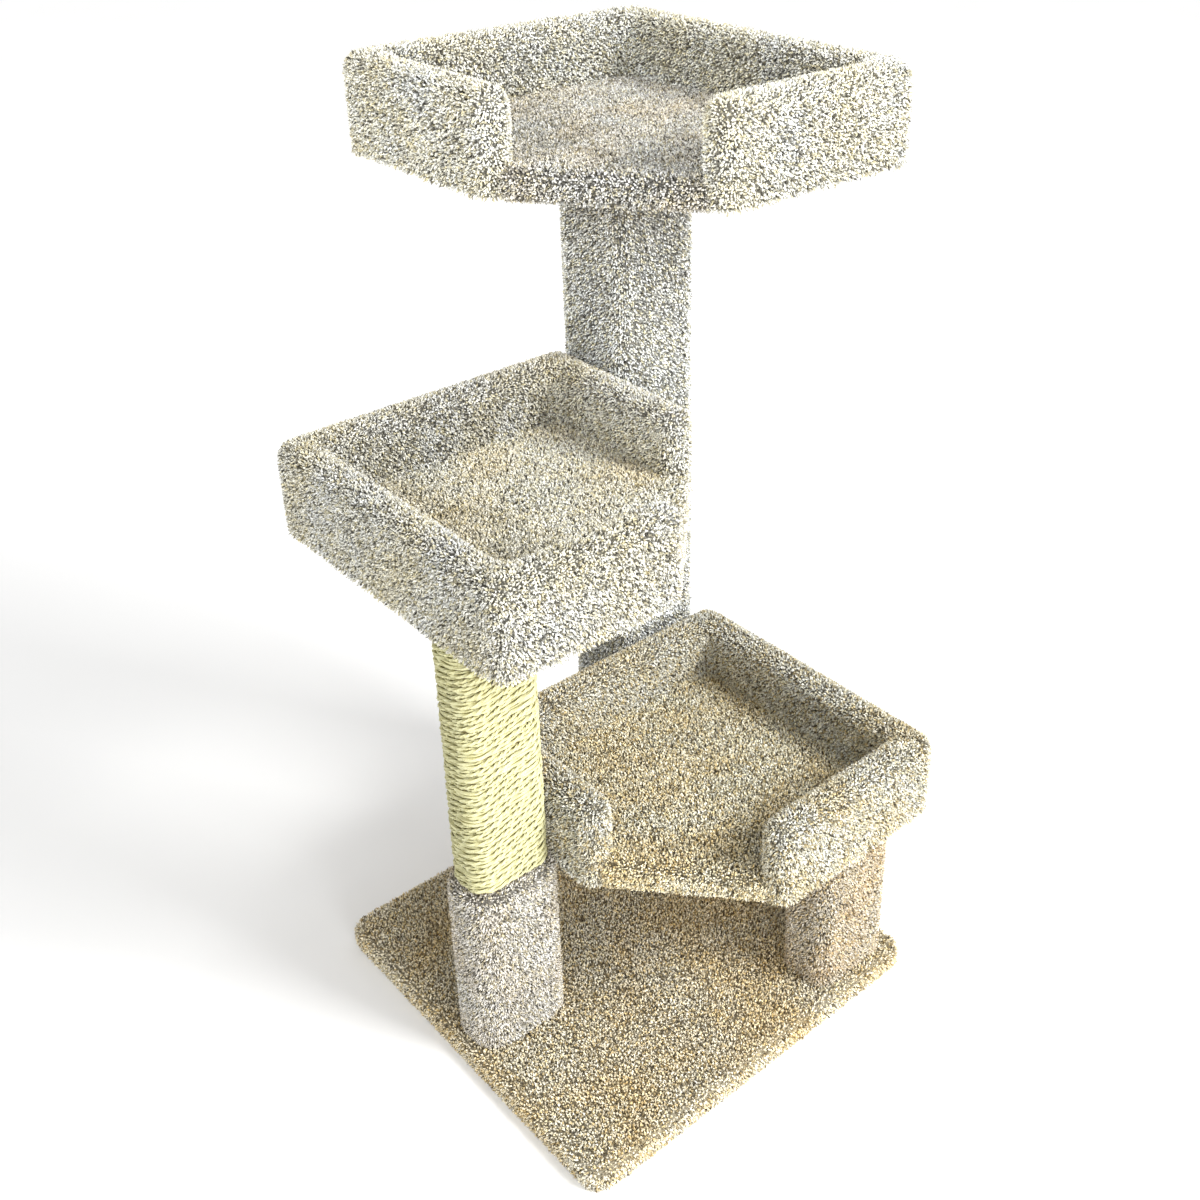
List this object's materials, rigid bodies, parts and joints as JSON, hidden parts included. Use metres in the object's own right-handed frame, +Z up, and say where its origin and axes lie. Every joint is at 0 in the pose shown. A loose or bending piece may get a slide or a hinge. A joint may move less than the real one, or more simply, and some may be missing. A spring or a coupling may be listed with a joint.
{
  "type": "cat tree",
  "caption": "Free-standing carpeted cat tree: square base, tall carpeted post, sisal scratching post and short post carrying padded tray perches, each with a raised rim open at one corner.",
  "frame": {"origin": "on the floor, at the middle of the whole tree's outline seen from above", "axes": "+Z up; +X and +Y run along the two back-going edges of the square base, to the right and to the left in the picture, so the picture looks along +X and +Y together"},
  "size_m": [0.712, 0.72, 1.315],
  "materials": {
    "base_carpet": "cut pile carpet, tan fleck",
    "floor_carpet": "cut pile carpet, tan fleck",
    "rim_carpet": "cut pile carpet, cream",
    "post_carpet": "cut pile carpet, beige",
    "sisal_rope": "twisted natural sisal",
    "timber": "planed softwood",
    "wall_board": "planed softwood",
    "plywood": "sanded plywood",
    "screw_steel": "zinc plated"
  },
  "bodies": {
    "root": {"base_board": "plywood", "base_carpet": "base_carpet", "base_screws": "screw_steel", "front_boot": "post_carpet", "front_core": "timber", "lower_floor": "plywood", "lower_mat": "floor_carpet", "lower_post_screws": "screw_steel", "lower_rim": "rim_carpet", "lower_side_screws": "screw_steel", "lower_wall_back": "wall_board", "lower_wall_far": "wall_board", "lower_wall_front": "wall_board", "lower_wall_screws": "screw_steel", "lower_wall_side": "wall_board", "middle_floor": "plywood", "middle_mat": "floor_carpet", "middle_post_screws": "screw_steel", "middle_rim": "rim_carpet", "middle_side_screws": "screw_steel", "middle_wall_back": "wall_board", "middle_wall_far": "wall_board", "middle_wall_front": "wall_board", "middle_wall_screws": "screw_steel", "middle_wall_side": "wall_board", "short_core": "timber", "short_sleeve": "post_carpet", "sisal_lower": "sisal_rope", "sisal_upper": "sisal_rope", "tall_core": "timber", "tall_sleeve": "post_carpet", "top_floor": "plywood", "top_mat": "floor_carpet", "top_post_screws": "screw_steel", "top_rim": "rim_carpet", "top_wall_back": "wall_board", "top_wall_far": "wall_board", "top_wall_front": "wall_board", "top_wall_screws": "screw_steel", "top_wall_side": "wall_board"}
  },
  "joints": []
}
